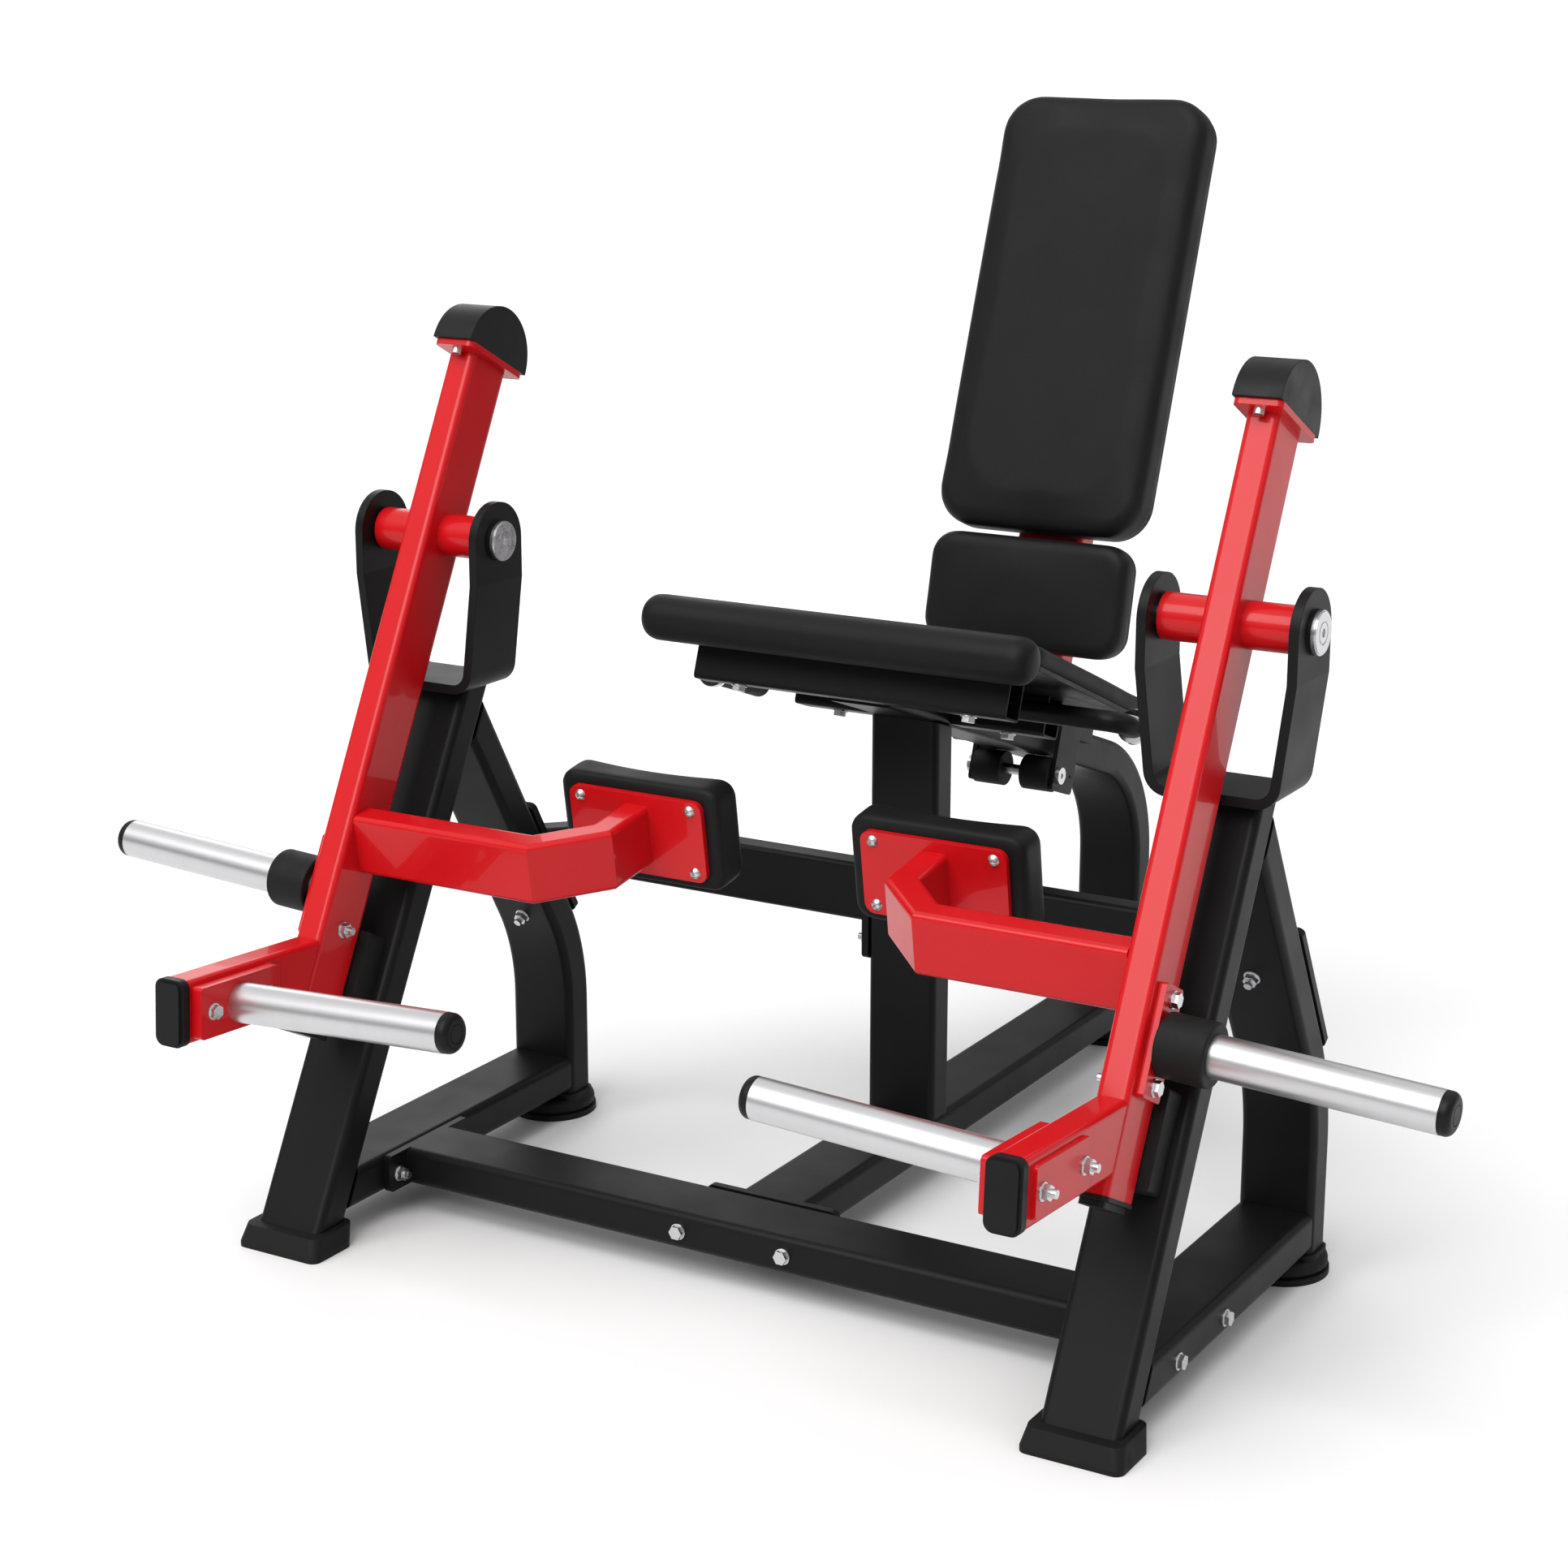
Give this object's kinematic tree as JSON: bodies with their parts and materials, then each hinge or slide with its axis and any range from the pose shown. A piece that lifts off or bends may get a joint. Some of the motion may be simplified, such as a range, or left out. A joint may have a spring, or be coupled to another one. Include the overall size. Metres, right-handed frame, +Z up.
{
  "type": "leg extension machine",
  "caption": "Plate-loaded leg extension machine: independent swinging lever arms with shin pads and plate sleeves, sloped seat with front roll, sliding backrest.",
  "frame": {"origin": "on the floor under the middle of the machine's bounding box", "axes": "+X to the machine's right-hand side seen from the foot end, +Y from the foot end towards the backrest, +Z up"},
  "size_m": [1.8568, 1.563, 1.4261],
  "materials": {
    "frame_paint": "satin black powder coat",
    "lever_paint": "gloss red powder coat",
    "horn_metal": "satin chrome plated tube",
    "chrome": "polished",
    "zinc_steel": "bright zinc plate",
    "weight_coat": "satin black",
    "black_rubber": "moulded, matte",
    "black_plastic": "moulded, fine texture",
    "upholstery": "black vinyl over foam"
  },
  "bodies": {
    "frame": {"left_front_post": "frame_paint", "right_front_post": "frame_paint", "left_rear_leg": "frame_paint", "right_rear_leg": "frame_paint", "left_side_rail": "frame_paint", "right_side_rail": "frame_paint", "left_yoke": "frame_paint", "right_yoke": "frame_paint", "front_crossmember": "frame_paint", "centre_rail": "frame_paint", "centre_post": "frame_paint", "seat_beam": "frame_paint", "rear_column": "frame_paint", "left_rear_crossrail": "frame_paint", "right_rear_crossrail": "frame_paint", "front_shoes": "black_rubber", "rear_feet": "black_rubber", "lever_bumpers": "black_rubber", "front_seat_bracket": "frame_paint", "rear_seat_bracket": "frame_paint", "seat_pad": "upholstery", "seat_roll": "upholstery", "handle_bars": "frame_paint", "handle_collars": "chrome", "handle_grips": "black_rubber", "pivot_shafts": "zinc_steel", "frame_bolts": "zinc_steel"},
    "left_lever": {"left_lever_arm": "lever_paint", "left_stub_arm": "lever_paint", "left_pad_arm": "lever_paint", "left_shin_pad": "upholstery", "left_counterweight": "weight_coat", "left_bearings": "zinc_steel", "left_horn_flanges": "lever_paint", "left_inner_horn": "horn_metal", "left_outer_horn": "horn_metal", "left_horn_caps": "black_plastic", "left_horn_collar": "black_rubber", "left_end_plugs": "black_plastic", "left_lever_bolts": "zinc_steel"},
    "right_lever": {"right_lever_arm": "lever_paint", "right_stub_arm": "lever_paint", "right_pad_arm": "lever_paint", "right_shin_pad": "upholstery", "right_counterweight": "weight_coat", "right_bearings": "zinc_steel", "right_horn_flanges": "lever_paint", "right_inner_horn": "horn_metal", "right_outer_horn": "horn_metal", "right_horn_caps": "black_plastic", "right_horn_collar": "black_rubber", "right_end_plugs": "black_plastic", "right_lever_bolts": "zinc_steel"},
    "backrest": {"backrest_carriage": "frame_paint", "roller_axle": "zinc_steel", "backrest_upright": "lever_paint", "upper_back_pad": "upholstery", "lower_back_pad": "upholstery"},
    "rollers": {"carriage_rollers": "black_rubber"},
    "lock_pin": {"lock_pin": "black_plastic"}
  },
  "joints": [
    {"name": "left_lever_swing", "type": "hinge", "parent": "frame", "child": "left_lever", "pos_m": [-0.56, -0.21796, 0.877], "axis": [-1, 0, 0], "range_deg": [0, 90]},
    {"name": "right_lever_swing", "type": "hinge", "parent": "frame", "child": "right_lever", "pos_m": [0.56, -0.21796, 0.877], "axis": [-1, 0, 0], "range_deg": [0, 90]},
    {"name": "backrest_slide", "type": "slide", "parent": "frame", "child": "backrest", "axis": [0, 0.9426, -0.3338], "range_m": [-0.1, 0.1]},
    {"name": "roller_spin", "type": "hinge", "parent": "backrest", "child": "rollers", "pos_m": [0, 0.37163, 0.49906], "axis": [1, 0, 0], "range_deg": [-240, 240]},
    {"name": "lock_pin_push", "type": "slide", "parent": "backrest", "child": "lock_pin", "axis": [1, 0, 0], "range_m": [0, 0.013]}
  ],
  "couplings": [
    {"joint": "roller_spin", "follows": "backrest_slide", "rad_per_m": 40.816}
  ]
}
